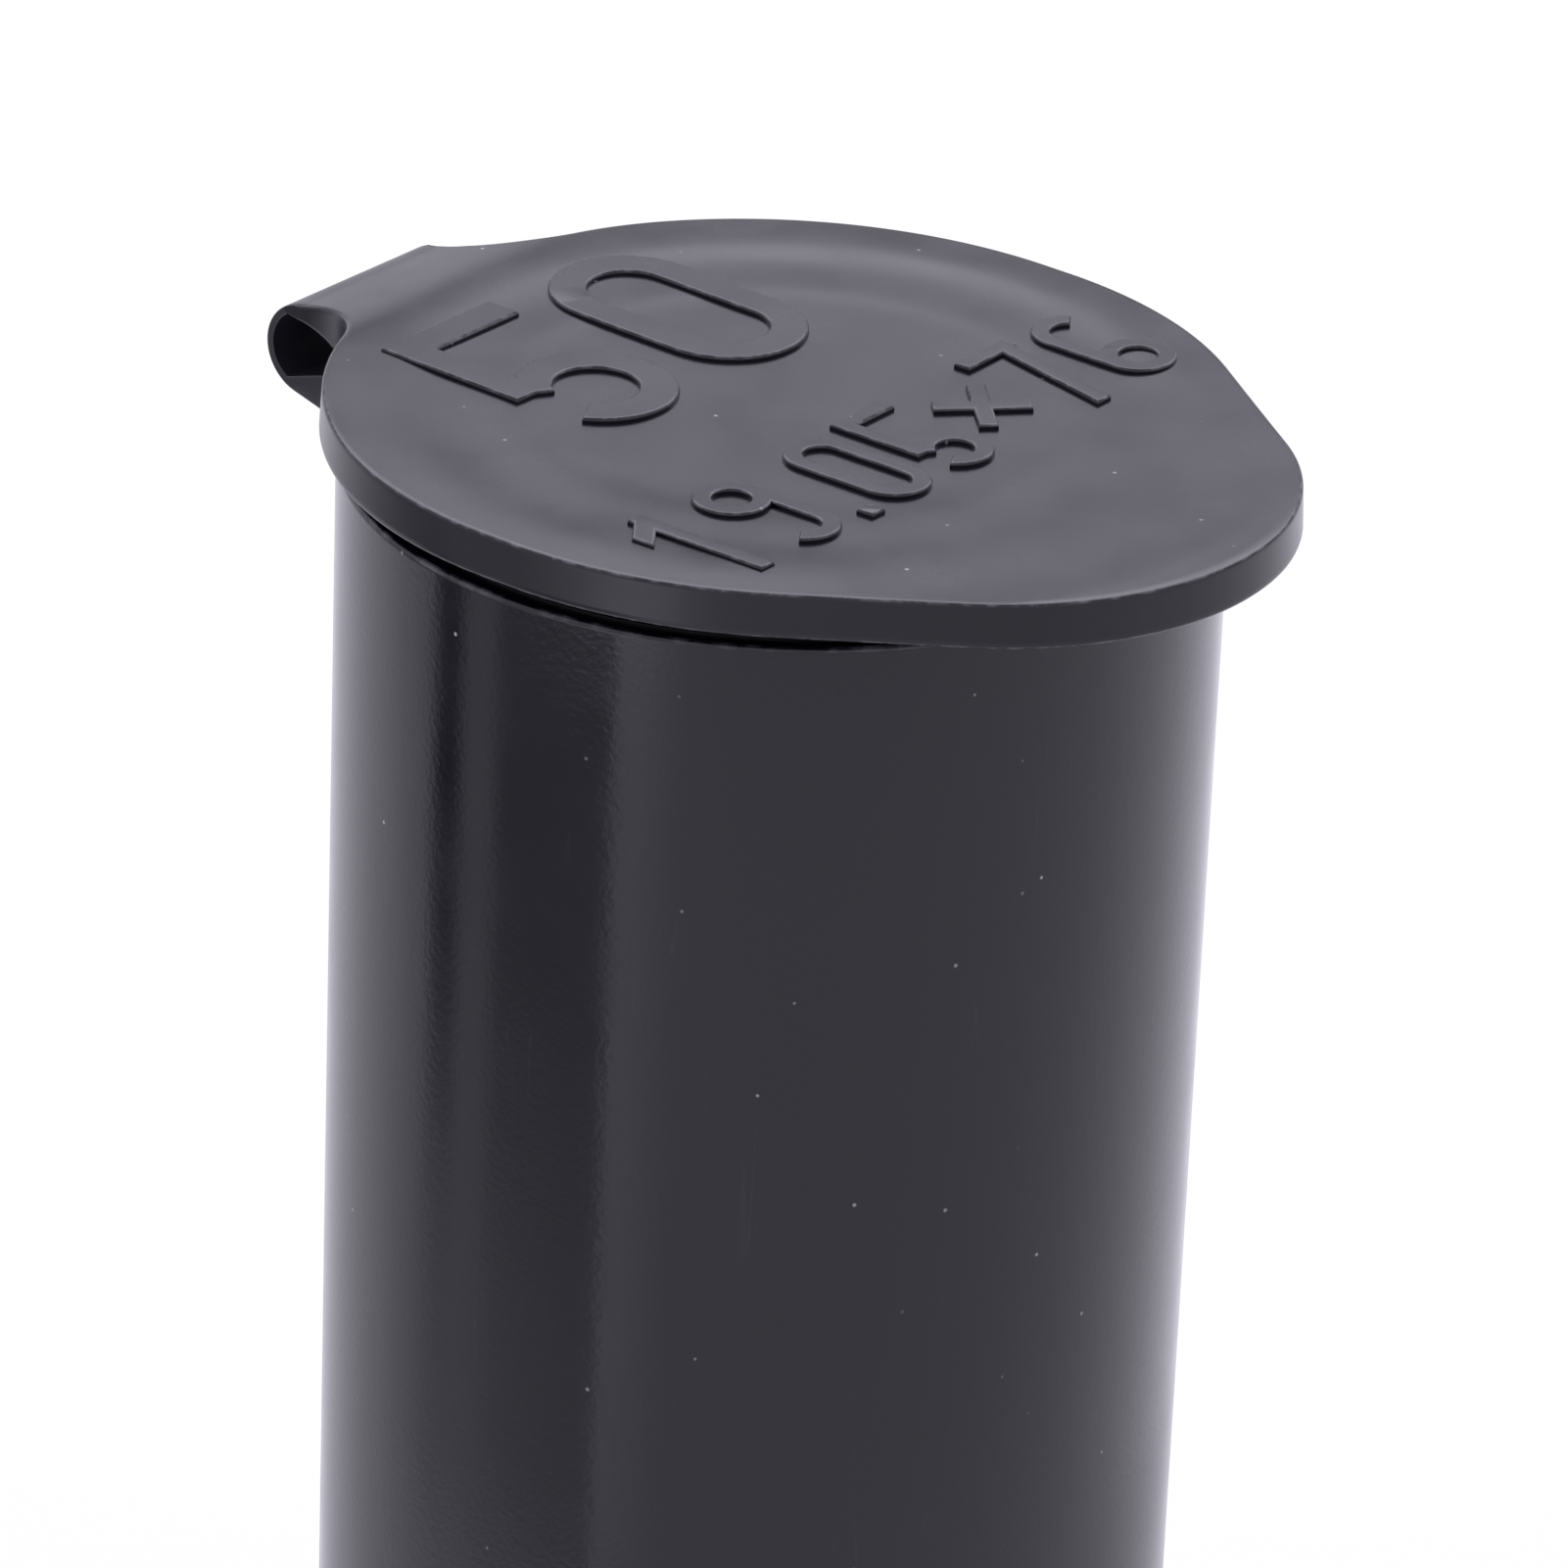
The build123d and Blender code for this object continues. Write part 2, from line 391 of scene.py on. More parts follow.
def dress(piece: Piece, finish: bpy.types.Material, slot: Slot, nodes: Sequence[str]) -> None:
    """Gives a piece its finish and hides the solids that it stands for.

    Args:
        piece: Finished mesh object.
        finish: Its material.
        slot: Material slot of the record; not used.
        nodes: Solids that the piece stands for.
    """
    piece.data.materials.clear()
    piece.data.materials.append(finish)
    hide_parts(*nodes)
    log.info("%s: %d faces, finish %s", piece.name, len(piece.data.polygons), finish.name)


@dataclass(frozen=True)
class MouldedPolypropylene:
    """Black polypropylene from a steel mould.

    The plastic has next to no colour of its own, so what shows is the gloss: a soft white sheen, broken up
    by the mould's grain, by hairlines from handling, by specks of dust, and by worn edges with a painted
    highlight along them.
    """

    name: str
    body_hex: str = "#0c0914"
    haze_hex: str = "#110d19"
    # light grey of worn places and hairlines, also painted along the edges as a highlight
    worn_and_highlight_hex: str = "#6f6e74"
    dust_hex: str = "#bdbcc3"
    ior: float = 1.49
    roughness: float = 0.22
    roughness_spread: float = 0.05
    scuff_roughness: float = 0.35  # how much rougher a worn or dusty place is
    mottle_mm: float = 2.6
    mottle_range: Span = (0.3, 0.7)  # between these values of the mottle the gloss changes
    swell_mm: float = 9.0
    swell_depth_mm: float = 0.004
    grain_mm: float = 0.12  # the mould's grain is finer, and is drawn this coarse to show
    grain_depth_mm: float = 0.0006
    hairline_mm: float = 0.7
    hairline_stretch: tuple[float, float, float] = (1.0, 1.0, 0.03)
    hairline_turn_deg: tuple[float, float, float] = (0.0, 0.0, 0.0)
    hairline_width: float = 0.006  # in the noise's own values, on each side of its middle
    hairline_breaks: Span = (0.5, 0.62)  # mottle at which a line begins and is whole
    hairline_lift: float = 0.05
    dust_spacing_mm: float = 1.35
    dust_radius_mm: float = 0.07
    dust_core: float = 0.4  # share of a speck's radius within which it isn't softened
    wear_and_highlight_patch_mm: float = 0.4
    wear_and_highlight_patches: Span = (0.42, 0.68)  # noise at which a worn patch with its painted highlight begins and is whole
    wear_and_highlight_edges: Span = (0.2, 1.0)  # edge mark at which the wear and its painted highlight begin and are whole
    wear_and_highlight_amount: float = 0.55

    def build(self) -> bpy.types.Material:
        """Makes the material with its nodes.

        Returns:
            The new material.
        """
        material = bpy.data.materials.new(self.name)
        tree = empty_tree(material)
        place = add_node(tree, "ShaderNodeTexCoord", {})["Object"]
        clouds = {"Vector": place, "Scale": scale_for(self.mottle_mm), "Detail": 4.0}
        mottle = add_node(tree, "ShaderNodeTexNoise", clouds)["Fac"]
        hairlines = self._hairlines(tree, place, mottle)
        dust = self._dust(tree, place)
        # worn edges, with a painted highlight along them
        wear_and_highlight = self._wear_and_highlight(tree, place)

        colour: Any = linear(self.body_hex)
        for share, layer_hex in (
            (mottle, self.haze_hex),
            (hairlines, self.worn_and_highlight_hex),
            (wear_and_highlight, self.worn_and_highlight_hex),
            (dust, self.dust_hex),
        ):
            layer = {"Factor": share, MIX_FROM: colour, MIX_TO: linear(layer_hex)}
            colour = add_node(tree, "ShaderNodeMix", layer, data_type="RGBA")[MIXED]

        gloss = add_node(
            tree,
            "ShaderNodeMapRange",
            {
                "Value": mottle,
                "From Min": self.mottle_range[0],
                "From Max": self.mottle_range[1],
                "To Min": self.roughness - self.roughness_spread,
                "To Max": self.roughness + self.roughness_spread,
            },
        )["Result"]
        scuffed = add_node(tree, "ShaderNodeMath", {0: wear_and_highlight, 1: dust}, operation="MAXIMUM")[0]
        duller = {0: scuffed, 1: self.scuff_roughness, 2: gloss}
        roughness = add_node(tree, "ShaderNodeMath", duller, operation="MULTIPLY_ADD", use_clamp=True)

        shader = add_node(
            tree,
            "ShaderNodeBsdfPrincipled",
            {
                "Base Color": colour,
                "Roughness": roughness[0],
                "IOR": self.ior,
                "Normal": self._relief(tree, place),
            },
        )
        add_node(tree, "ShaderNodeOutputMaterial", {"Surface": shader["BSDF"]})
        return material

    def _hairlines(self, tree: Tree, place: Socket, mottle: Socket) -> Socket:
        """Adds thin broken lines along the way that the piece is drawn or that hands rub it.

        Args:
            tree: Node tree of the material.
            place: Object coordinates.
            mottle: Cloudy noise that breaks the lines up.

        Returns:
            The share of worn colour, 0 off the lines.
        """
        turn = tuple(math.radians(angle) for angle in self.hairline_turn_deg)
        way = {"Vector": place, "Rotation": turn, "Scale": self.hairline_stretch}
        drawn = add_node(tree, "ShaderNodeMapping", way)["Vector"]
        streaks = {"Vector": drawn, "Scale": scale_for(self.hairline_mm), "Detail": 1.0}
        lines = add_node(tree, "ShaderNodeTexNoise", streaks)["Fac"]
        swing = add_node(tree, "ShaderNodeMath", {0: lines, 1: NOISE_MIDDLE}, operation="SUBTRACT")[0]
        away = add_node(tree, "ShaderNodeMath", {0: swing}, operation="ABSOLUTE")[0]
        start, whole = self.hairline_breaks
        share: Any = self.hairline_lift
        for ramp in (
            {"Value": away, "From Max": self.hairline_width, "To Min": 1.0, "To Max": 0.0},
            {"Value": mottle, "From Min": start, "From Max": whole},
        ):
            part = add_node(tree, "ShaderNodeMapRange", ramp, interpolation_type="SMOOTHSTEP")["Result"]
            share = add_node(tree, "ShaderNodeMath", {0: part, 1: share}, operation="MULTIPLY")[0]
        return share

    def _dust(self, tree: Tree, place: Socket) -> Socket:
        """Adds specks of pale dust, some of them faint.

        Args:
            tree: Node tree of the material.
            place: Object coordinates.

        Returns:
            The share of dust, from 0 to 1.
        """
        spread = {"Vector": place, "Scale": scale_for(self.dust_spacing_mm)}
        cells = add_node(tree, "ShaderNodeTexVoronoi", spread)
        radius = self.dust_radius_mm / self.dust_spacing_mm
        ends = {"From Min": self.dust_core * radius, "From Max": radius, "To Min": 1.0, "To Max": 0.0}
        ramp = {"Value": cells["Distance"], **ends}
        specks = add_node(tree, "ShaderNodeMapRange", ramp, interpolation_type="SMOOTHSTEP")["Result"]
        return add_node(tree, "ShaderNodeMath", {0: specks, 1: cells["Color"]}, operation="MULTIPLY")[0]

    def _wear_and_highlight(self, tree: Tree, place: Socket) -> Socket:
        """Adds worn patches along the marked edges, which also paint a highlight there.

        Args:
            tree: Node tree of the material.
            place: Object coordinates.

        Returns:
            The share of the worn colour and painted highlight, from 0 to 1.
        """
        edge = add_node(tree, "ShaderNodeAttribute", {}, attribute_name=EDGE_WEAR_AND_HIGHLIGHT)["Fac"]
        patches = {"Vector": place, "Scale": scale_for(self.wear_and_highlight_patch_mm), "Detail": 3.0}
        noise = add_node(tree, "ShaderNodeTexNoise", patches)["Fac"]
        share: Any = self.wear_and_highlight_amount
        for value, (start, whole) in ((noise, self.wear_and_highlight_patches), (edge, self.wear_and_highlight_edges)):
            ramp = {"Value": value, "From Min": start, "From Max": whole}
            part = add_node(tree, "ShaderNodeMapRange", ramp, interpolation_type="SMOOTHSTEP")["Result"]
            share = add_node(tree, "ShaderNodeMath", {0: part, 1: share}, operation="MULTIPLY")[0]
        return share

    def _relief(self, tree: Tree, place: Socket) -> Socket:
        """Adds the slow swell of the moulded face and its fine grain.

        Args:
            tree: Node tree of the material.
            place: Object coordinates.

        Returns:
            The normal of the face with both.
        """
        below: dict[str, Socket] = {}
        for size_mm, depth_mm, detail in (
            (self.swell_mm, self.swell_depth_mm, 0.0),
            (self.grain_mm, self.grain_depth_mm, 1.0),
        ):
            waves = {"Vector": place, "Scale": scale_for(size_mm), "Detail": detail}
            height = add_node(tree, "ShaderNodeTexNoise", waves)["Fac"]
            bump = {"Distance": depth_mm * MM, "Height": height, **below}
            below = {"Normal": add_node(tree, "ShaderNodeBump", bump)["Normal"]}
        return below["Normal"]


@dataclass
class TubeShell:
    """Cup that holds the coins: wall, floor, standing ring and the seat that the plug enters."""

    radius: float
    rim_z: float
    bore_radius: float
    seat_radius: float = 10.35 * MM
    seat_depth: float = 4.8 * MM
    seat_lead: float = 0.3 * MM
    step_round: float = 0.12 * MM  # at the foot of the seat, where the bore begins
    floor_z: float = 1.2 * MM
    floor_round: float = 0.4 * MM
    foot_width: float = 1.6 * MM
    foot_recess: float = 0.4 * MM
    foot_round: float = 0.5 * MM
    recess_round: float = 0.2 * MM
    rim_round: float = 0.15 * MM
    rim_worn_and_highlit: float = 0.62  # share of the rim's rounding, down from its top, that is worn and carries a painted highlight

    @classmethod
    def from_frame(cls, frame: dict[str, Any]) -> "TubeShell":
        """Takes the outside from the solid and the bore from its mount.

        Args:
            frame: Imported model.

        Returns:
            The shell's sizes.
        """
        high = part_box("tube_body")[1]
        bore = next(mount for mount in frame["record"]["mounts"] if mount["name"] == "coin_bore")
        return cls(radius=high[0], rim_z=high[2], bore_radius=bore["dims"]["r_mm"] * MM)

    def build(self) -> Piece:
        """Models the cup from a cylinder.

        Returns:
            The finished shell.
        """
        piece = add_cylinder("tube_shell", ROUND_STEPS, self.radius, 0.0, self.rim_z)
        seat_z = self.rim_z - self.seat_depth
        with editing(piece):
            select(piece, Element.FACE, lambda face: face.normal.z > LEVEL)
            bpy.ops.mesh.inset(thickness=self.radius - self.seat_radius)
            push(-self.seat_depth)
            bpy.ops.mesh.inset(thickness=self.seat_radius - self.bore_radius)
            push(self.floor_z - seat_z)
            select(piece, Element.FACE, lambda face: face.normal.z < -LEVEL)
            bpy.ops.mesh.inset(thickness=self.foot_width)
            push(self.foot_recess)
            round_ring(piece, self.radius, 0.0, self.foot_round, segments=5)
            round_ring(piece, self.radius - self.foot_width, 0.0, self.recess_round, segments=3)
            round_ring(piece, self.radius, self.rim_z, self.rim_round, segments=4)
            round_ring(piece, self.seat_radius, self.rim_z, self.seat_lead, segments=2)
            round_ring(piece, self.bore_radius, seat_z, self.step_round, segments=2)
            round_ring(piece, self.bore_radius, self.floor_z, self.floor_round, segments=4)
            face_outwards()
        smooth(piece)
        # the rim's top edge is worn, and is painted lighter there as a highlight
        mark_wear_and_highlight(piece, self._worn_and_highlit)
        return piece

    def _worn_and_highlit(self, place: Vector) -> bool:
        """Says whether a place is on the upper part of the rim's outer rounding, which is worn and painted
        with a highlight.
        """
        outside = place.xy.length > self.radius - self.rim_round
        return outside and self.rim_z - place.z < self.rim_worn_and_highlit * self.rim_round


@dataclass
class HingeLoop:
    """Thin strap that joins the tube to the lid in a loop, bent where the two joints are."""

    centre_y: float
    centre_z: float
    outer_radius: float
    half_width: float
    thickness: float = 0.22 * MM
    corner: float = 0.05 * MM
    corner_steps: int = 3
    end_angle: float = math.radians(58)  # where the strap grows out of the wedge and the lid
    steps: int = 14

    @classmethod
    def from_frame(cls, frame: dict[str, Any]) -> "HingeLoop":
        """Takes the loop from the two joints, which lie on its outside, and its width from the solid.

        Args:
            frame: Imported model.

        Returns:
            The loop's sizes.
        """
        places = {joint["name"]: Vector(joint["pos_m"]) for joint in frame["joints"]}
        root = places["hinge_bend_root"]
        lid = places["lid_hinge"]
        rise = (lid.z - root.z) / 2
        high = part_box("hinge_strap")[1]
        return cls(
            centre_y=root.y - rise,
            centre_z=(lid.z + root.z) / 2,
            outer_radius=min(rise * math.sqrt(2), high[1] - root.y + rise),
            half_width=high[0],
        )

    @property
    def inner_radius(self) -> float:
        """Radius of the hollow of the loop."""
        return self.outer_radius - self.thickness

    def at(self, radius: float, angle: float, x: float = 0.0) -> Vector:
        """Gives the place at a radius and an angle above the horizon on the loop."""
        centre = Vector((x, self.centre_y, self.centre_z))
        return centre + radius * Vector((0, math.cos(angle), math.sin(angle)))

    def section(self, angle: float) -> list[Vector]:
        """Gives the outline of the strap's cross section at an angle.

        Args:
            angle: Angle above the horizon on the loop.

        Returns:
            Points round the section, anticlockwise about the way that the strap runs.
        """
        middle = (self.outer_radius + self.inner_radius) / 2
        points = []
        for turn, (side, wall) in enumerate(((1, 1), (-1, 1), (-1, -1), (1, -1))):
            for step in range(self.corner_steps + 1):
                bend = math.pi / 2 * (turn + step / self.corner_steps)
                across = side * (self.half_width - self.corner) + self.corner * math.cos(bend)
                out = middle + wall * (self.thickness / 2 - self.corner) + self.corner * math.sin(bend)
                points.append(self.at(out, angle, across))
        return points

    def build(self) -> tuple[Piece, Piece]:
        """Models the strap in two halves that meet in its middle.

        Returns:
            The half by the tube and the half by the lid.
        """
        halves = []
        for name, start in (("strap_tube_half", -self.end_angle), ("strap_lid_half", 0.0)):
            angles = [start + self.end_angle * step / self.steps for step in range(self.steps + 1)]
            half = loft(name, [self.section(angle) for angle in angles])
            smooth(half)
            halves.append(half)
        return halves[0], halves[1]

    def ride(self, tube_half: Piece, lid_half: Piece) -> None:
        """Puts each half's place into its mesh.

        Args:
            tube_half: Half by the tube.
            lid_half: Half by the lid.
        """
        bottom = tuple(self.at(self.outer_radius, -math.pi / 2))
        top = tuple(self.at(self.outer_radius, math.pi / 2))
        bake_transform(tube_half)
        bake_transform(lid_half)


@dataclass
class HingeRoot:
    """Wedge on the tube's wall that carries the strap."""

    loop: HingeLoop
    tube_radius: float
    edge_round: float = 0.05 * MM
    rooted: float = 0.15 * MM  # how far the wedge runs into the wall, so that no seam shows

    def build(self, node: Piece) -> Piece:
        """Models the wedge from its solid, with its edges eased and cut where the strap begins.

        Args:
            node: Solid of the wedge.

        Returns:
            The finished wedge.
        """
        piece = copy_of_node("hinge_wedge", node)
        angle = -self.loop.end_angle
        cut_place = self.loop.at(0.0, angle)
        cut_normal = Vector((0, -math.sin(angle), math.cos(angle)))
        wall = self.tube_radius + CLOSE

        def eased(edge: bmesh.types.BMEdge) -> bool:
            """Says whether an edge is a free corner of the wedge."""
            return is_corner(edge) and all(v.co.xy.length > wall for v in edge.verts)

        with editing(piece):
            select(piece, Element.EDGE, eased)
            bpy.ops.mesh.bevel(offset=self.edge_round, segments=3, affect="EDGES")
            bpy.ops.mesh.select_all(action="SELECT")
            bpy.ops.mesh.bisect(
                plane_co=cut_place, plane_no=cut_normal, use_fill=True, clear_outer=True, threshold=MERGE
            )
            mesh = bmesh.from_edit_mesh(piece.data)
            for vertex in mesh.verts:
                if vertex.co.xy.length < wall:
                    vertex.co.xy *= 1 - self.rooted / self.tube_radius
            bmesh.update_edit_mesh(piece.data)
            face_outwards()
        smooth(piece)
        return piece


@dataclass(frozen=True)
class SinkWave:
    """One ring of the shallow waves that the plug's rib leaves on the lid as the plastic shrinks."""

    radius: float
    width: float  # of the slope towards the middle
    tail: float  # width of the slope towards the edge, which is gentler
    height: float
    calm: float  # share of the wave that is lost on the way to the tab, where the lid is stiffer

    def rise(self, radius: float, tabward: float) -> float:
        """Gives the wave's height at a radius, where tabward is 0 at the hinge and 1 at the tab."""
        width = self.width if radius < self.radius else self.tail
        return self.height * (1 - self.calm * tabward) * math.exp(-(((radius - self.radius) / width) ** 2))


@dataclass
class PlanPoint:
    """One place on the lid's outline, seen from above."""

    place: Vector
    normal: Vector
    soft: float  # share of the edge's rounding, 0 where the strap grows out of the lid

    def inward(self, distance: float) -> Vector:
        """Gives the place at a distance in from the edge."""
        return self.place - self.normal * distance

    def mirrored(self) -> "PlanPoint":
        """Gives the same place on the other side of the lid."""
        sides = [Vector((-vector.x, vector.y)) for vector in (self.place, self.normal)]
        return PlanPoint(sides[0], sides[1], self.soft)


@dataclass
class LidPlate:
    """Lid disc with its thumb tab, the flare that runs down to the strap and the shallow dish on top."""

    loop: HingeLoop
    radius: float
    tab_reach: float
    top_z: float
    under_z: float
    stretch: float = 0.4 * MM  # the disc is longer than wide by this, towards the hinge and the tab
    tab_radius: float = 8.0 * MM
    hinge_blend: float = 3.2 * MM
    hinge_soft: Span = (0.8, 0.25)  # share of the edge's rounding along the sides of the flare
    flare_drop: float = 0.38 * MM
    flare_set_off: float = 0.38 * MM
    flare_angle: float = math.radians(15)
    flare_soft: float = 0.35 * MM
    draft: float = 0.05 * MM  # how far the edge leans in towards its top
    draft_fade: Span = (1.1, 0.9)  # of the radius, towards the hinge, where the lean is gone and whole
    top_round: float = 0.1 * MM
    top_bends: Sequence[int] = (90, 72, 54, 36, 18, 0)  # degrees round the top edge
    under_round: float = 0.1 * MM
    under_bends: Sequence[int] = (0, 30, 60, 90)  # degrees round the lower edge
    edge_hold: float = 0.1  # share of the edge's height at each end that shades into its rounding
    dish_depth: float = 0.18 * MM
    dish_reach: float = 13.0 * MM
    waves: Sequence[SinkWave] = (
        SinkWave(radius=7.25 * MM, width=0.6 * MM, tail=1.1 * MM, height=0.016 * MM, calm=0.4),
        SinkWave(radius=10.0 * MM, width=0.95 * MM, tail=1.4 * MM, height=0.052 * MM, calm=0.9),
    )
    wave_room: float = 0.025 * MM  # how far the waves' crests are set down, to stay below the flat lid
    tab_calm: Span = (0.45, 1.05)  # share of the way to the tab where the waves begin and cease to calm
    under_radius: float = 9.6 * MM  # the underside's rings begin here, above the plug
    under_shares: Sequence[float] = (0.0, 0.25, 0.42, 0.5, 0.58, 0.75, 0.9)  # from there to the edge
    flat_radius: float = 10.2 * MM  # outside this the top's rings follow the outline
    outer_rings: int = 16
    flat_rings: int = 25
    flat_spacing: float = 0.2 * MM
    middle_radii: Sequence[float] = (4.6 * MM, 3.8 * MM, 3.0 * MM, 2.2 * MM, 1.4 * MM, 0.7 * MM)
    top_worn_and_highlit: Span = (0.03, 0.6)  # shares of the top rounding between which it is worn and painted with a highlight
    foot_worn_and_highlit: Span = (0.1, 0.9)  # shares of the lower rounding between which it is worn and painted with a highlight
    worn_and_highlit_radius: float = 10.8 * MM  # inside this the underside is out of reach
    worn_and_highlit_end: float = 0.9  # of the radius, towards the hinge, where the wear and its painted highlight end

    @classmethod
    def from_frame(cls, loop: HingeLoop) -> "LidPlate":
        """Takes the disc and the tab's reach from the solid, and the underside from the plug's root.

        Args:
            loop: Strap that the lid grows out of.

        Returns:
            The lid's sizes.
        """
        low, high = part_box("lid_plate")
        under_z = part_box("lid_plug_ring")[1][2]
        return cls(loop=loop, radius=high[0], tab_reach=-low[1], top_z=high[2], under_z=under_z)

    def outline(self, end_y: float) -> list[PlanPoint]:
        """Gives the plan of the lid, anticlockwise from the tip of the tab.

        Args:
            end_y: Where the hinge end of the lid stops.

        Returns:
            Points a few tenths of a millimetre apart, with the corners among them.
        """
        tab = Vector((0, self.tab_radius - self.tab_reach))
        near = Vector((0, -self.stretch))
        far = Vector((0, self.stretch))
        lean = math.asin((self.radius - self.tab_radius) / (near.y - tab.y))
        side = Vector((math.cos(lean), -math.sin(lean)))
        across = Vector((1, 0))
        half_width = self.loop.half_width
        hollow = far + Vector((half_width + self.hinge_blend, 0))
        hollow.y += math.sqrt((self.radius + self.hinge_blend) ** 2 - hollow.x**2)
        lid_end = math.atan2(hollow.y - far.y, hollow.x)

        half = [PlanPoint(Vector((0, -self.tab_reach)), Vector((0, -1)), 1.0)]
        self._arc(half, tab, self.tab_radius, (-math.pi / 2, -lean), count=38)
        self._line(half, near + side * self.radius, side, (1.0, 1.0), count=24)
        self._arc(half, near, self.radius, (-lean, 0.0), count=36)
        self._line(half, far + across * self.radius, across, (1.0, 1.0), count=4)
        self._arc(half, far, self.radius, (0.0, lid_end), count=64)
        self._arc(half, hollow, -self.hinge_blend, (lid_end, 0.0), count=20)
        self._line(half, Vector((half_width, end_y)), across, self.hinge_soft, count=4)
        self._line(half, Vector((0, end_y)), Vector((0, 1)), (0.0, 0.0), count=14)
        return half + [point.mirrored() for point in half[-2:0:-1]]

    @staticmethod
    def _arc(points: list[PlanPoint], centre: Vector, radius: float, span: Span, count: int) -> None:
        """Adds an arc to an outline, after its first point, which is there already.

        Args:
            points: Outline so far.
            centre: Centre of the arc.
            radius: Radius, below 0 where the lid is outside the arc.
            span: Angles of the outward normal where the arc starts and ends.
            count: Points to add.
        """
        start, end = span
        for step in range(1, count + 1):
            angle = start + (end - start) * step / count
            normal = Vector((math.cos(angle), math.sin(angle)))
            points.append(PlanPoint(centre + radius * normal, normal, 1.0))

    @staticmethod
    def _line(points: list[PlanPoint], end: Vector, normal: Vector, soft: Span, count: int) -> None:
        """Adds a straight run to an outline, after its first point, which is there already.

        Args:
            points: Outline so far.
            end: Where the run ends.
            normal: Its outward normal.
            soft: Share of the edge's rounding at the run's start and end.
            count: Points to add.
        """
        start = points[-1].place
        for step in range(1, count + 1):
            share = step / count
            points.append(PlanPoint(start.lerp(end, share), normal, soft[0] + (soft[1] - soft[0]) * share))

    def top(self, x: float, y: float) -> float:
        """Gives the height of the lid's top: the dish, its waves, and the flare down to the strap.

        Args:
            x: Place across the lid.
            y: Place along the lid.

        Returns:
            Height of the top there.
        """
        loop = self.loop
        crest_y = loop.centre_y + loop.outer_radius * math.sin(self.flare_angle)
        if y > crest_y:
            return loop.centre_z + math.sqrt(loop.outer_radius**2 - (y - loop.centre_y) ** 2)
        crest_z = loop.centre_z + loop.outer_radius * math.cos(self.flare_angle)
        slope = math.tan(self.flare_angle)
        run = (self.top_z - crest_z) / slope
        bend = soft_bend(self.flare_soft, y - crest_y + run) - soft_bend(self.flare_soft, run) + run
        return self.top_z - slope * max(0.0, bend) + self.relief(x, y)

    def dish(self, radius: float) -> float:
        """Gives how far the lid as a whole sags at a distance from the middle."""
        return -self.dish_depth * max(0.0, 1 - (radius / self.dish_reach) ** 2)

    def relief(self, x: float, y: float) -> float:
        """Gives the height of the dish and its waves, never above the flat lid.

        Args:
            x: Place across the lid.
            y: Place along the lid.

        Returns:
            Height above the flat lid, 0 or less.
        """
        radius = math.hypot(x, y)
        tabward = smoothstep(*self.tab_calm, -y / max(radius, CLOSE))
        waves = sum(wave.rise(radius, tabward) for wave in self.waves)
        return min(0.0, self.dish(radius) + waves - self.wave_room)

    def under(self, y: float) -> float:
        """Gives the height of the underside, which drops at the flare and rises to the hollow of the loop.

        Args:
            y: Place along the lid.

        Returns:
            Height of the underside there.
        """
        end = self.loop.at(self.loop.inner_radius, self.loop.end_angle)
        reach = self.radius + self.stretch
        deep_y = reach + self.flare_set_off
        if y < deep_y:
            return self.under_z - self.flare_drop * max(0.0, (y - reach) / self.flare_set_off)
        deep_z = self.under_z - self.flare_drop
        return deep_z + (end.z - deep_z) * (y - deep_y) / (end.y - deep_y)

    def build(self) -> Piece:
        """Models the lid as a skin from its underside, round its edge, to the middle of its top.

        Returns:
            The finished lid.
        """
        loop = self.loop
        upper = self.outline(loop.at(loop.outer_radius, loop.end_angle).y)
        lower = self.outline(loop.at(loop.inner_radius, loop.end_angle).y)
        turns = [-math.pi / 2 + math.tau * i / len(upper) for i in range(len(upper))]
        circle = [Vector((math.cos(turn), math.sin(turn))) for turn in turns]
        rings = self._under_rings(lower, circle)
        foot = rings[-1]
        crown = self._crown_rings(upper)
        for share in (self.edge_hold, 1 - self.edge_hold):
            rings.append([low.lerp(high, share) for low, high in zip(foot, crown[0])])
        piece = loft("lid_disc", rings + crown + self._top_rings(upper, circle))
        smooth(piece, weighted=False)
        # the lid's edges are worn, and are painted lighter along them as a highlight
        mark_wear_and_highlight(piece, self._worn_and_highlit)
        return piece

    def _rounding(self, point: PlanPoint, size: float) -> float:
        """Gives the rounding at a point, which shrinks to the strap's own where the two meet."""
        return max(self.loop.corner, size * point.soft) if point.soft else 0.0

    def _leant(self, point: PlanPoint) -> float:
        """Gives how far the top of the edge is set in, which fades out towards the hinge."""
        return self.draft * point.soft * smoothstep(*self.draft_fade, point.place.y / self.radius)

    def _under_rings(self, lower: list[PlanPoint], circle: list[Vector]) -> list[list[Vector]]:
        """Gives the rings of the underside and of its edge's rounding.

        Args:
            lower: Outline of the underside.
            circle: Directions from the lid's middle, one for each point of the outline.

        Returns:
            Rings from above the plug to the foot of the edge.
        """
        rings = []
        for share in self.under_shares:
            ring = []
            for point, way in zip(lower, circle):
                inset = point.inward(self._rounding(point, self.under_round))
                spot = (way * self.under_radius).lerp(inset, share)
                ring.append(Vector((*spot, self.under(spot.y))))
            rings.append(ring)
        for angle in map(math.radians, self.under_bends):
            ring = []
            for point in lower:
                size = self._rounding(point, self.under_round)
                spot = point.inward(size * (1 - math.sin(angle)))
                ring.append(Vector((*spot, self.under(point.place.y) + size * (1 - math.cos(angle)))))
            rings.append(ring)
        return rings

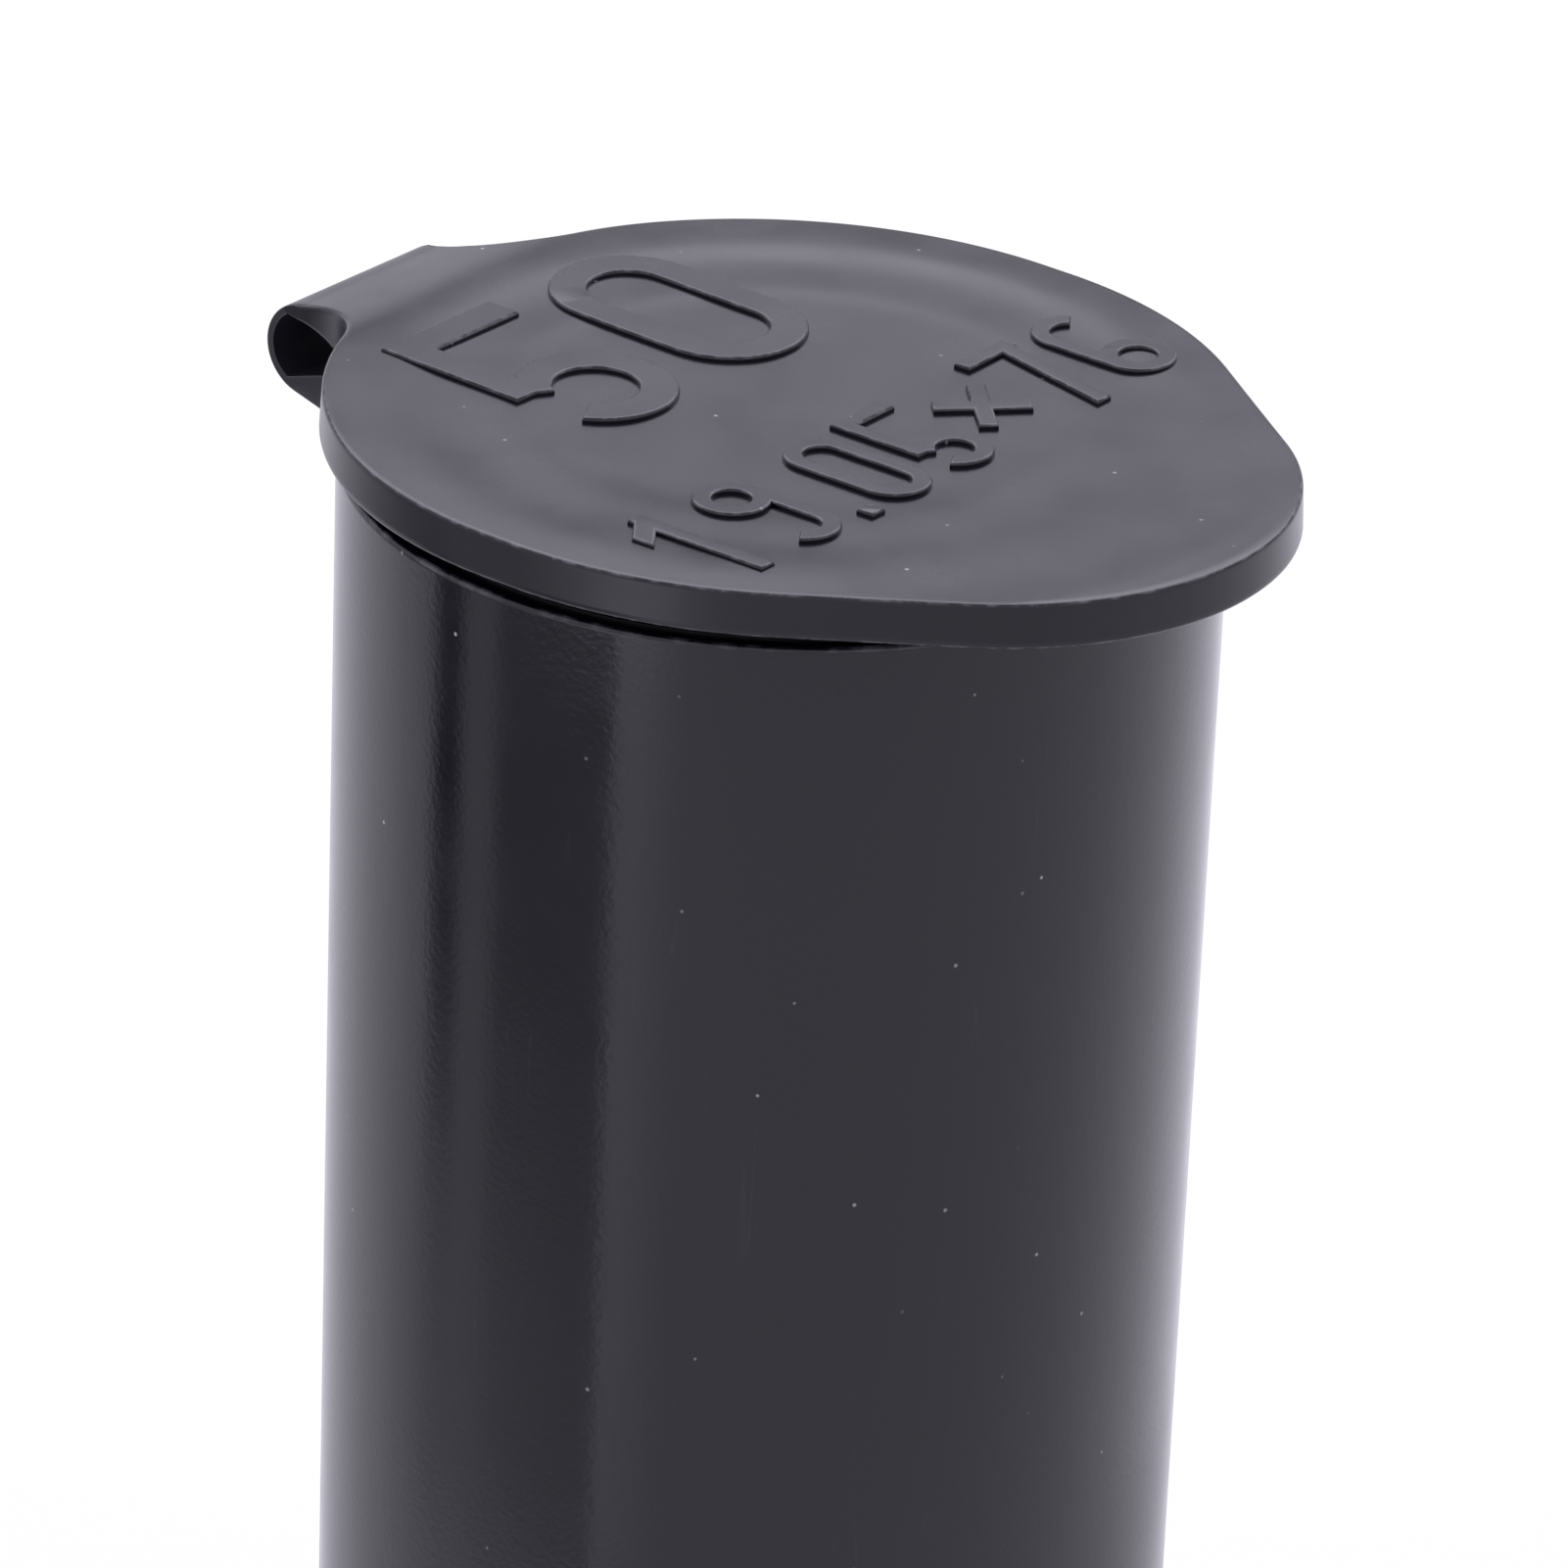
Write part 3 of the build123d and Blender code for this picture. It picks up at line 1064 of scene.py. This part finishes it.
    def _crown_rings(self, upper: list[PlanPoint]) -> list[list[Vector]]:
        """Gives the rings of the top edge's rounding.

        Args:
            upper: Outline of the top.

        Returns:
            Rings from the head of the edge to the top.
        """
        rings = []
        for angle in map(math.radians, self.top_bends):
            ring = []
            for point in upper:
                size = self._rounding(point, self.top_round)
                spot = point.inward(self._leant(point) + size * (1 - math.sin(angle)))
                height = self.top(*(point.place if angle else spot))
                ring.append(Vector((*spot, height - size * (1 - math.cos(angle)))))
            rings.append(ring)
        return rings

    def _top_rings(self, upper: list[PlanPoint], circle: list[Vector]) -> list[list[Vector]]:
        """Gives the rings of the top inside its edge.

        Args:
            upper: Outline of the top.
            circle: Directions from the lid's middle, one for each point of the outline.

        Returns:
            Rings from the edge to the middle.
        """
        rings = []
        for step in range(1, self.outer_rings + 1):
            share = step / self.outer_rings
            ring = []
            for point, way in zip(upper, circle):
                inner = point.inward(self._leant(point) + self._rounding(point, self.top_round))
                spot = inner.lerp(way * self.flat_radius, share)
                ring.append(Vector((*spot, self.top(*spot))))
            rings.append(ring)
        radii = [self.flat_radius - self.flat_spacing * step for step in range(1, self.flat_rings + 1)]
        for radius in (*radii, *self.middle_radii):
            rings.append([Vector((*(way * radius), self.top(*(way * radius)))) for way in circle])
        return rings

    def _worn_and_highlit(self, place: Vector) -> bool:
        """Says whether a place is on the roundings of the top edge and of its foot, away from the hinge,
        which are worn and painted with a highlight.

        Args:
            place: Place on the lid.

        Returns:
            Whether hands and tables rub it, and a highlight is painted on it.
        """
        below_top = (self.top(place.x, place.y) - place.z) / self.top_round
        above_foot = (place.z - self.under(place.y)) / self.under_round
        on_top = self.top_worn_and_highlit[0] < below_top < self.top_worn_and_highlit[1]
        on_foot = self.foot_worn_and_highlit[0] < above_foot < self.foot_worn_and_highlit[1]
        outside = place.xy.length > self.worn_and_highlit_radius
        return (on_top or (outside and on_foot)) and place.y < self.worn_and_highlit_end * self.radius


@dataclass
class PlugRing:
    """Ring under the lid that seals in the mouth of the tube."""

    radius: float
    low_z: float
    high_z: float
    wall: float = 1.0 * MM
    lead: float = 0.35 * MM
    inner_round: float = 0.2 * MM
    rooted: float = 0.3 * MM  # how far the ring runs into the lid, so that no seam shows
    hollow_rooted: float = 0.15 * MM  # how far its hollow does

    @classmethod
    def from_frame(cls) -> "PlugRing":
        """Takes the ring's outside and ends from the solid."""
        low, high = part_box("lid_plug_ring")
        return cls(radius=high[0], low_z=low[2], high_z=high[2])

    def build(self) -> Piece:
        """Models the ring as a shallow cup that is open below.

        Returns:
            The finished ring.
        """
        piece = add_cylinder("lid_plug", ROUND_STEPS, self.radius, self.low_z, self.high_z + self.rooted)
        with editing(piece):
            select(piece, Element.FACE, lambda face: face.normal.z < -LEVEL)
            bpy.ops.mesh.inset(thickness=self.wall)
            push(self.high_z - self.low_z + self.hollow_rooted)
            round_ring(piece, self.radius, self.low_z, self.lead, segments=3)
            round_ring(piece, self.radius - self.wall, self.low_z, self.inner_round, segments=3)
            face_outwards()
        smooth(piece)
        return piece


@dataclass
class RaisedNumerals:
    """Numerals that stand a little above the lid, with softened tops."""

    node: str
    name: str
    top_round: float
    lid: LidPlate
    sink: float = 0.2 * MM  # how far the numerals run into the lid
    set_down: float = 0.13 * MM  # how much lower they stand than their solid, as the lid's top does
    worn_and_highlit: Span = (0.01, 0.79)  # shares of the rounding, down from its top, between which it is worn and painted with a highlight

    def build(self, node: Piece) -> Piece:
        """Models the numerals from their solid.

        Args:
            node: Solid of the numerals.

        Returns:
            The finished numerals.
        """
        foot_z, top_z = (corner[2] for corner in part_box(self.node))

        def on_top(edge: bmesh.types.BMEdge) -> bool:
            """Says whether an edge is a corner of the numerals' top."""
            return is_corner(edge) and all(abs(v.co.z - top_z) < CLOSE for v in edge.verts)

        piece = copy_of_node(self.name, node)
        with editing(piece):
            select(piece, Element.VERTEX, lambda vertex: abs(vertex.co.z - foot_z) < CLOSE)
            bpy.ops.transform.translate(value=(0, 0, -self.sink))
            select(piece, Element.EDGE, on_top)
            bpy.ops.mesh.bevel(offset=self.top_round, segments=3, affect="EDGES")
            face_outwards()
        # the numerals' top edges are worn, and are painted lighter along them as a highlight
        start, end = (top_z - share * self.top_round for share in self.worn_and_highlit)
        mark_wear_and_highlight(piece, lambda place: end < place.z < start)
        for vertex in piece.data.vertices:
            vertex.co.z += self.lid.dish(vertex.co.xy.length) - self.set_down
        smooth(piece)
        return piece


@dataclass(frozen=True)
class PhotoCamera:
    """Long lens that looks down on the lid from the thumb tab's left."""

    azimuth: float = math.radians(-52.5)
    elevation: float = math.radians(26.4)
    roll: float = math.radians(2.27)
    distance: float = 227.4 * MM
    aim_drop: float = 8.23 * MM  # how far below the rim's middle the picture's middle is
    sensor: float = 36.0
    lens: float = 208.75
    clip: Span = (0.01, 20.0)

    @property
    def back(self) -> Vector:
        """Direction from the object to the camera."""
        level = Vector((math.sin(self.azimuth), -math.cos(self.azimuth), 0)) * math.cos(self.elevation)
        return level + Vector((0, 0, math.sin(self.elevation)))

    def build(self, rim_z: float) -> None:
        """Adds the camera and makes it the scene's.

        Args:
            rim_z: Height of the tube's rim.
        """
        level_right = Vector((math.cos(self.azimuth), math.sin(self.azimuth), 0))
        level_up = self.back.cross(level_right)
        right = math.cos(self.roll) * level_right + math.sin(self.roll) * level_up
        up = self.back.cross(right)
        place = Vector((0, 0, rim_z)) + self.distance * self.back - self.aim_drop * up
        data = bpy.data.cameras.new("photo_camera")
        data.sensor_width = self.sensor
        data.lens = self.lens
        data.clip_start, data.clip_end = self.clip
        camera = bpy.data.objects.new("photo_camera", data)
        bpy.context.scene.collection.objects.link(camera)
        turn = Matrix((right, up, self.back)).transposed().to_4x4()
        camera.matrix_world = Matrix.Translation(place) @ turn
        bpy.context.scene.camera = camera


@dataclass(frozen=True)
class CardStop:
    """Brightness of the cards at one angle left of the camera, at three heights."""

    angle_deg: float
    top: float  # what the lid's edge mirrors
    high: float  # what the upper tube mirrors
    low: float  # what the lower tube mirrors


@dataclass
class Studio:
    """White table and room, a softbox behind the object and a band of white and grey cards round it."""

    camera: PhotoCamera
    tint_hex: str = "#f4f2ff"  # the lamps are a little cool, which only the gloss shows
    paper_hex: str = "#ffffff"
    table_hex: str = "#f4f4f4"
    ambient: float = 0.55
    surround: float = 0.95
    floor_size: float = 6.0
    floor_glow: float = 0.8
    box_distance: float = 0.45
    box_aim_z: float = 80 * MM
    box_elevation: float = math.radians(53.5)
    box_width: float = 0.9
    box_height: float = 0.42
    box_radiance: float = 2.4
    flag_radius: float = 350 * MM
    flag_span_deg: Span = (120.0, 240.0)
    flag_rise: Span = (172 * MM, 216 * MM)
    flag_radiance: float = 0.45
    card_radius: float = 100 * MM
    card_rise: Span = (0.5 * MM, 75 * MM)
    card_gain: float = 2.0  # brightest that a card can be
    card_fade: Span = (8 * MM, 32 * MM)  # from low to high
    card_top_fade: Span = (38.5 * MM, 45 * MM)  # from high to top
    card_stops: Sequence[CardStop] = (
        CardStop(-165.0, 1.15, 1.15, 1.15),
        CardStop(-131.0, 1.24, 1.24, 1.24),
        CardStop(-102.0, 1.10, 1.10, 1.12),
        CardStop(-85.0, 1.00, 1.00, 1.02),
        CardStop(-60.0, 0.96, 0.96, 0.96),
        CardStop(-24.0, 0.80, 0.97, 0.96),
        CardStop(8.0, 0.80, 0.98, 0.97),
        CardStop(22.0, 1.00, 0.99, 0.97),
        CardStop(30.0, 1.80, 1.22, 1.17),
        CardStop(37.8, 1.90, 1.38, 1.32),
        CardStop(39.8, 1.85, 0.44, 0.66),
        CardStop(54.0, 1.05, 0.41, 0.70),
        CardStop(69.5, 0.62, 0.38, 0.74),
        CardStop(74.0, 0.64, 0.76, 0.82),
        CardStop(81.0, 0.60, 0.72, 0.80),
        CardStop(85.0, 0.50, 0.12, 0.74),
        CardStop(90.5, 0.38, 0.12, 0.76),
        CardStop(95.5, 0.32, 0.88, 0.87),
        CardStop(112.0, 0.60, 1.03, 1.00),
        CardStop(135.0, 0.92, 1.07, 1.02),
        CardStop(165.0, 0.95, 1.04, 1.00),
    )

    @property
    def tint(self) -> Colour:
        """Colour of the lamps."""
        return linear(self.tint_hex)

    @property
    def toward(self) -> float:
        """Angle from the tube's axis to the camera, seen from above."""
        return math.atan2(self.camera.back.y, self.camera.back.x)

    def build(self) -> None:
        """Adds the room, floor, cards, flag and softbox, and sets the plain view transform."""
        scene = bpy.context.scene
        scene.view_settings.view_transform = "Standard"
        self._surround(scene)
        floor, card, flag = self._floor(), self._card(), self._flag()
        self._softbox()
        log.info("studio: %s, %s and %s", floor.name, card.name, flag.name)

    def _surround(self, scene: bpy.types.Scene) -> None:
        """Makes the white room, which the gloss shows and which lights softly.

        Args:
            scene: Scene that takes the world.
        """
        world = bpy.data.worlds.new("white_room")
        tree = empty_tree(world)
        path = add_node(tree, "ShaderNodeLightPath", {})
        level = {"Value": path["Is Glossy Ray"], "To Min": self.ambient, "To Max": self.surround}
        strength = add_node(tree, "ShaderNodeMapRange", level)["Result"]
        room = add_node(tree, "ShaderNodeBackground", {"Color": self.tint, "Strength": strength})
        rays = {0: path["Is Camera Ray"], 1: path["Is Transmission Ray"]}
        seen = add_node(tree, "ShaderNodeMath", rays, operation="MAXIMUM")[0]
        paper = add_node(tree, "ShaderNodeBackground", {"Color": linear(self.paper_hex), "Strength": 1.0})
        both = {0: seen, 1: room["Background"], 2: paper["Background"]}
        light = add_node(tree, "ShaderNodeMixShader", both)
        add_node(tree, "ShaderNodeOutputWorld", {"Surface": light["Shader"]})
        scene.world = world

    def _floor(self) -> Piece:
        """Adds the white table, which keeps part of the object's shadow.

        Returns:
            The floor.
        """
        bpy.ops.object.select_all(action="DESELECT")
        bpy.ops.mesh.primitive_plane_add(size=self.floor_size, location=(0, 0, 0))
        floor = settle("floor")
        material = bpy.data.materials.new("white_table")
        tree = empty_tree(material)
        path = add_node(tree, "ShaderNodeLightPath", {})
        paint = add_node(tree, "ShaderNodeBsdfDiffuse", {"Color": linear(self.table_hex)})
        tints = {"Factor": path["Is Glossy Ray"], MIX_FROM: linear(self.paper_hex), MIX_TO: self.tint}
        colour = add_node(tree, "ShaderNodeMix", tints, data_type="RGBA")[MIXED]
        glow = add_node(tree, "ShaderNodeEmission", {"Color": colour, "Strength": 1.0})
        seen = path["Is Camera Ray"]
        for ray in ("Is Glossy Ray", "Is Transmission Ray"):
            seen = add_node(tree, "ShaderNodeMath", {0: seen, 1: path[ray]}, operation="MAXIMUM")[0]
        share = add_node(tree, "ShaderNodeMath", {0: seen, 1: self.floor_glow}, operation="MULTIPLY")[0]
        both = {0: share, 1: paint["BSDF"], 2: glow["Emission"]}
        shader = add_node(tree, "ShaderNodeMixShader", both)
        add_node(tree, "ShaderNodeOutputMaterial", {"Surface": shader["Shader"]})
        floor.data.materials.append(material)
        return floor

    def _card(self) -> Piece:
        """Adds the band of cards that the tube mirrors and the camera doesn't see.

        Returns:
            The band, bowed round the tube.
        """
        first = self.card_stops[0].angle_deg
        last = self.card_stops[-1].angle_deg
        card = self._bowed("side_card", self.card_radius, (first, last), self.card_rise)
        material = bpy.data.materials.new("grey_card")
        tree = empty_tree(material)
        place = add_node(tree, "ShaderNodeTexCoord", {})["Object"]
        turn = {"Vector": place, "Axis": (0, 0, 1), "Angle": -self.toward}
        turned = add_node(tree, "ShaderNodeVectorRotate", turn)["Vector"]
        axes = add_node(tree, "ShaderNodeSeparateXYZ", {"Vector": turned})
        angle = add_node(tree, "ShaderNodeMath", {0: axes["Y"], 1: axes["X"]}, operation="ARCTAN2")[0]
        span = {"Value": angle, "From Min": -math.radians(first), "From Max": -math.radians(last)}
        along = add_node(tree, "ShaderNodeMapRange", span)["Result"]
        bands = []
        for level in ("low", "high", "top"):
            ramp = add_node(tree, "ShaderNodeValToRGB", {"Fac": along})
            elements = ramp["Color"].node.color_ramp.elements
            while len(elements) < len(self.card_stops):
                elements.new(1.0)
            for element, stop in zip(elements, self.card_stops):
                value = getattr(stop, level) / self.card_gain
                element.position = (stop.angle_deg - first) / (last - first)
                element.color = tuple(value * channel for channel in self.tint[:3]) + (1.0,)
            bands.append(ramp["Color"])
        colour = bands[0]
        for band, (start, end) in zip(bands[1:], (self.card_fade, self.card_top_fade)):
            fade = {"Value": axes["Z"], "From Min": start, "From Max": end}
            share = add_node(tree, "ShaderNodeMapRange", fade, interpolation_type="SMOOTHSTEP")["Result"]
            layer = {"Factor": share, MIX_FROM: colour, MIX_TO: band}
            colour = add_node(tree, "ShaderNodeMix", layer, data_type="RGBA")[MIXED]
        light = add_node(tree, "ShaderNodeEmission", {"Color": colour, "Strength": self.card_gain})
        add_node(tree, "ShaderNodeOutputMaterial", {"Surface": light["Emission"]})
        card.data.materials.append(material)
        return card

    def _bowed(self, name: str, radius: float, span_deg: Span, rise: Span) -> Piece:
        """Adds a band that is bowed round the object and that only a gloss shows.

        Args:
            name: Name of the band.
            radius: Its distance from the tube's axis.
            span_deg: Angles left of the camera where it starts and ends.
            rise: Heights of its lower and upper edge.

        Returns:
            The band, without a material.
        """
        bpy.ops.object.select_all(action="DESELECT")
        bpy.ops.mesh.primitive_grid_add(x_subdivisions=ROUND_STEPS, y_subdivisions=2, size=2)
        band = settle(name)
        for vertex in band.data.vertices:
            across = (vertex.co.x + 1) / 2
            up = (vertex.co.y + 1) / 2
            angle = self.toward - math.radians(span_deg[0] + (span_deg[1] - span_deg[0]) * across)
            height = rise[0] + (rise[1] - rise[0]) * up
            vertex.co = (radius * math.cos(angle), radius * math.sin(angle), height)
        for ray in ("visible_camera", "visible_diffuse", "visible_shadow", "visible_transmission"):
            setattr(band, ray, False)
        return band

    def _flag(self) -> Piece:
        """Adds the grey strip between the table's edge and the softbox, which the lid's slopes mirror.

        Returns:
            The strip, behind the object.
        """
        flag = self._bowed("back_flag", self.flag_radius, self.flag_span_deg, self.flag_rise)
        material = bpy.data.materials.new("grey_flag")
        tree = empty_tree(material)
        glow = {"Color": self.tint, "Strength": self.flag_radiance}
        light = add_node(tree, "ShaderNodeEmission", glow)
        add_node(tree, "ShaderNodeOutputMaterial", {"Surface": light["Emission"]})
        flag.data.materials.append(material)
        return flag

    def _softbox(self) -> None:
        """Adds the softbox that the lid mirrors, above and behind the object."""
        away = Vector((-self.camera.back.x, -self.camera.back.y, 0)).normalized()
        way = away * math.cos(self.box_elevation) + Vector((0, 0, math.sin(self.box_elevation)))
        data = bpy.data.lights.new("softbox", "AREA")
        data.shape = "RECTANGLE"
        data.size = self.box_width
        data.size_y = self.box_height
        data.energy = math.pi * self.box_width * self.box_height * self.box_radiance
        data.color = self.tint[:3]
        lamp = bpy.data.objects.new("softbox", data)
        bpy.context.scene.collection.objects.link(lamp)
        lamp.location = Vector((0, 0, self.box_aim_z)) + way * self.box_distance
        lamp.rotation_euler = way.to_track_quat("Z", "Y").to_euler()
        lamp.visible_camera = False


def main() -> None:
    """Models each sub-assembly, dresses it and sets the studio."""
    logging.basicConfig(level=logging.INFO, format="%(name)s: %(message)s")
    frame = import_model()

    # the tube mirrors the table in a calm satin, with faint marks along the way it left the mould
    tube_finish = MouldedPolypropylene(
        name="polypropylene_tube_satin",
        roughness=0.14,
        roughness_spread=0.03,
        grain_mm=0.18,
        grain_depth_mm=0.0035,
        wear_and_highlight_patch_mm=0.9,
        wear_and_highlight_amount=0.65,
    ).build()
    # the strap was flexed after moulding, which leaves it a little duller and greyer
    hinge_finish = MouldedPolypropylene(
        name="polypropylene_flexed_web",
        body_hex="#24222a",
        haze_hex="#323038",
        roughness=0.3,
        hairline_stretch=(0.05, 1.0, 1.0),
    ).build()
    # the lid is duller than the tube, with hairlines across it from being handled
    lid_finish = MouldedPolypropylene(
        name="polypropylene_lid_satin",
        roughness=0.24,
        hairline_stretch=(0.05, 1.0, 1.0),
        hairline_turn_deg=(0.0, 0.0, 35.0),
    ).build()

    tube = TubeShell.from_frame(frame)
    shell = tube.build()
    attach(shell, Body.TUBE.value)
    dress(shell, tube_finish, Slot.TUBE, ["tube_body"])

    loop = HingeLoop.from_frame(frame)
    wedge = HingeRoot(loop=loop, tube_radius=tube.radius).build(frame["nodes"]["hinge_root"])
    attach(wedge, Body.TUBE.value)
    dress(wedge, hinge_finish, Slot.TUBE, ["hinge_root"])

    tube_half, lid_half = loop.build()
    loop.ride(tube_half, lid_half)
    for half in (tube_half, lid_half):
        dress(half, hinge_finish, Slot.HINGE, ["hinge_strap"])

    lid = LidPlate.from_frame(loop)
    disc = lid.build()
    plug = PlugRing.from_frame().build()
    marks = [
        RaisedNumerals(node="count_numerals", name="numerals_count", top_round=0.08 * MM, lid=lid),
        RaisedNumerals(node="size_numerals", name="numerals_size", top_round=0.07 * MM, lid=lid),
    ]
    lid_pieces = [(disc, "lid_plate"), (plug, "lid_plug_ring")]
    lid_pieces += [(mark.build(frame["nodes"][mark.node]), mark.node) for mark in marks]
    for piece, node in lid_pieces:
        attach(piece, Body.LID.value)
        dress(piece, lid_finish, Slot.LID, [node])

    camera = PhotoCamera()
    camera.build(tube.rim_z)
    Studio(camera=camera).build()


if __name__ == "__main__":
    main()
